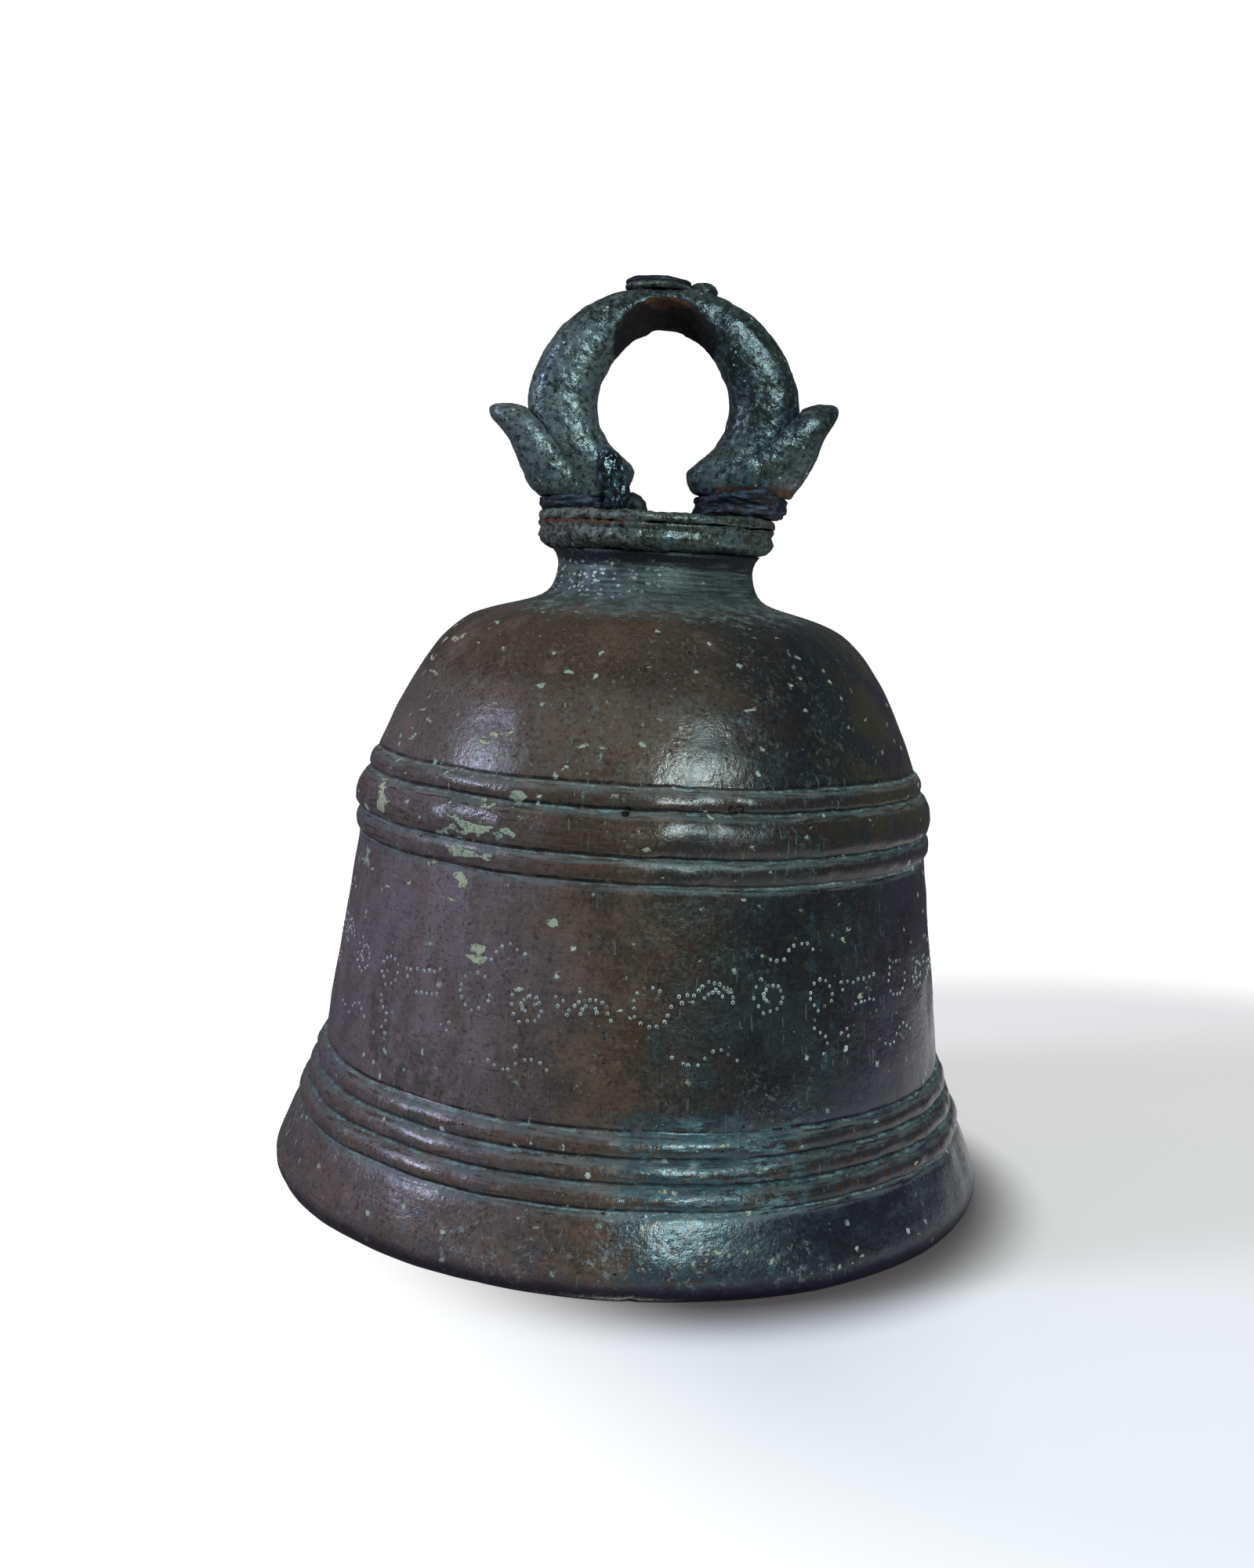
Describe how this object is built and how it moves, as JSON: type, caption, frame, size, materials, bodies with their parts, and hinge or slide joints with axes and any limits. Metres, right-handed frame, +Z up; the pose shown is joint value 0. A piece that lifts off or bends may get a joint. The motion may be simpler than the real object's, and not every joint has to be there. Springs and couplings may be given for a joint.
{
  "type": "hanging bell",
  "caption": "Domed bronze bell with raised rings, a flared lip, a repaired loop between two leaves on its crown, and a swinging clapper.",
  "frame": {"origin": "centre of the ring that the lip stands on", "axes": "+Z up through the crown loop, the loop lies in the XZ plane, -Y is the front"},
  "size_m": [0.2318, 0.2318, 0.2892],
  "materials": {
    "brown_bronze": "dark brown patina, worn smooth, green in the grooves",
    "green_bronze": "grey-green patina, pitted",
    "clapper_bronze": "brown patina, bright where it strikes",
    "rusted_iron": "wrought iron, dark rust",
    "repair_metal": "dark run solder, glossy"
  },
  "bodies": {
    "bell": {"bell_shell": "brown_bronze", "neck_collar": "green_bronze", "crown_plate": "green_bronze", "crown_loop": "green_bronze", "left_leaf": "green_bronze", "right_leaf": "green_bronze", "left_iron_shoe": "rusted_iron", "right_iron_shoe": "rusted_iron", "left_foot_pin": "rusted_iron", "right_foot_pin": "rusted_iron", "foot_solder": "repair_metal", "crown_button": "rusted_iron", "crown_rivet": "green_bronze", "clapper_hanger": "rusted_iron"},
    "link": {"hanger_link": "rusted_iron"},
    "clapper": {"clapper_rod": "rusted_iron", "clapper_ball": "clapper_bronze", "ball_rove": "rusted_iron"}
  },
  "joints": [
    {"name": "link_rock", "type": "hinge", "parent": "bell", "child": "link", "pos_m": [0, 0, 0.1877], "axis": [1, 0, 0], "range_deg": [-6, 6]},
    {"name": "clapper_swing", "type": "hinge", "parent": "link", "child": "clapper", "pos_m": [0, 0, 0.1697], "axis": [0, 1, 0], "range_deg": [-31, 31]}
  ]
}
